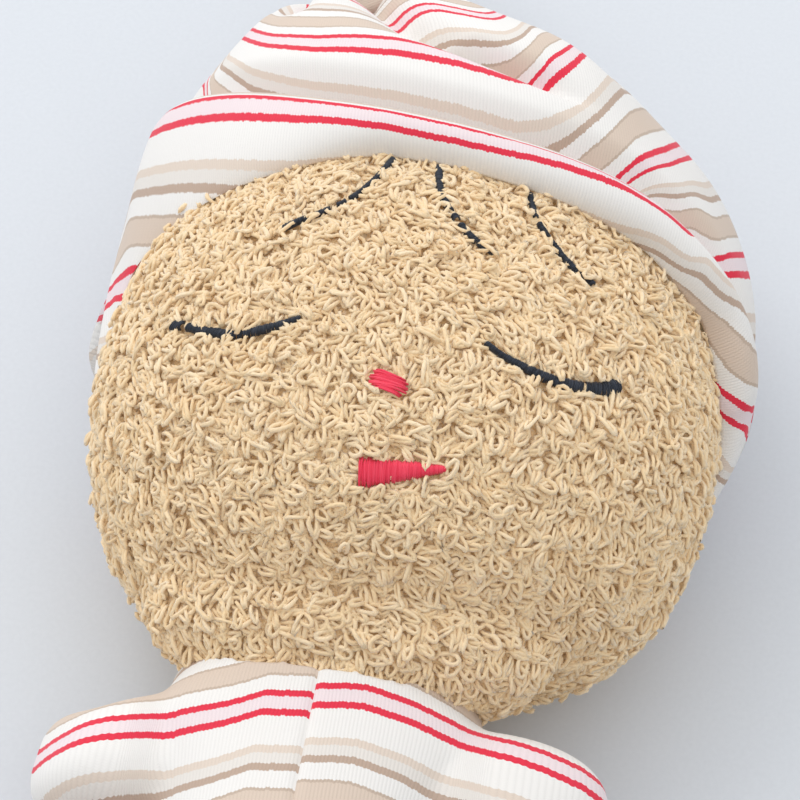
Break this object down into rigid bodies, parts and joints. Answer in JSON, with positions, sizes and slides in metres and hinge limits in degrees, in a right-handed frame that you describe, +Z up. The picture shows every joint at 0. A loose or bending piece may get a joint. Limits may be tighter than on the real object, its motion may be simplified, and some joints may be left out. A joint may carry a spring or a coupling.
{
  "type": "cuddle doll",
  "caption": "Soft doll lying on its back, with a wide terry face, terry hands and feet, and a striped jersey suit and gathered cap.",
  "frame": {"origin": "on the floor, under the middle of the doll's box as it lies on its back", "axes": "+Z up out of the face, +Y from the feet to the head, +X to the doll's own left"},
  "size_m": [0.1414, 0.383, 0.083],
  "materials": {
    "terry": "loop pile",
    "jersey": "knit, striped",
    "red_thread": "satin stitch",
    "dark_thread": "satin stitch",
    "filling": "matte fibre"
  },
  "bodies": {
    "trunk": {"left_front_panel": "jersey", "right_front_panel": "jersey", "left_back_panel": "jersey", "right_back_panel": "jersey", "trunk_filling": "filling"},
    "head": {"face_panel": "terry", "head_back_panel": "terry", "head_filling": "filling", "left_eye": "dark_thread", "right_eye": "dark_thread", "left_hair_strand": "dark_thread", "middle_hair_strand": "dark_thread", "right_hair_strand": "dark_thread", "nose": "red_thread", "mouth": "red_thread", "cap_crown": "jersey", "cap_brim": "jersey", "cap_knot": "jersey"},
    "cap_end": {"cap_tip": "jersey"},
    "left_arm": {"left_sleeve": "jersey", "left_hand": "terry", "left_arm_filling": "filling"},
    "right_arm": {"right_sleeve": "jersey", "right_hand": "terry", "right_arm_filling": "filling"},
    "left_leg_and_foot": {"left_leg": "jersey", "left_foot": "terry", "left_leg_filling": "filling"},
    "right_leg_and_foot": {"right_leg": "jersey", "right_foot": "terry", "right_leg_filling": "filling"}
  },
  "joints": [
    {"name": "neck_nod", "type": "hinge", "parent": "trunk", "child": "head", "pos_m": [-0.00843, -0.02997, 0.0265], "axis": [1, 0, 0], "range_deg": [-12, 30]},
    {"name": "cap_tip_fold", "type": "hinge", "parent": "head", "child": "cap_end", "pos_m": [-0.02243, 0.16433, 0.0355], "axis": [1, 0, 0], "range_deg": [-35, 60]},
    {"name": "left_shoulder_raise", "type": "hinge", "parent": "trunk", "child": "left_arm", "pos_m": [0.03357, -0.04497, 0.0205], "axis": [0, 0, 1], "range_deg": [0, 90]},
    {"name": "right_shoulder_raise", "type": "hinge", "parent": "trunk", "child": "right_arm", "pos_m": [-0.05043, -0.04497, 0.0205], "axis": [0, 0, -1], "range_deg": [0, 90]},
    {"name": "left_hip_bend", "type": "hinge", "parent": "trunk", "child": "left_leg_and_foot", "pos_m": [0.00757, -0.12997, 0.0215], "axis": [-1, 0, 0], "range_deg": [0, 85]},
    {"name": "right_hip_bend", "type": "hinge", "parent": "trunk", "child": "right_leg_and_foot", "pos_m": [-0.02443, -0.12997, 0.0215], "axis": [-1, 0, 0], "range_deg": [0, 85]}
  ]
}
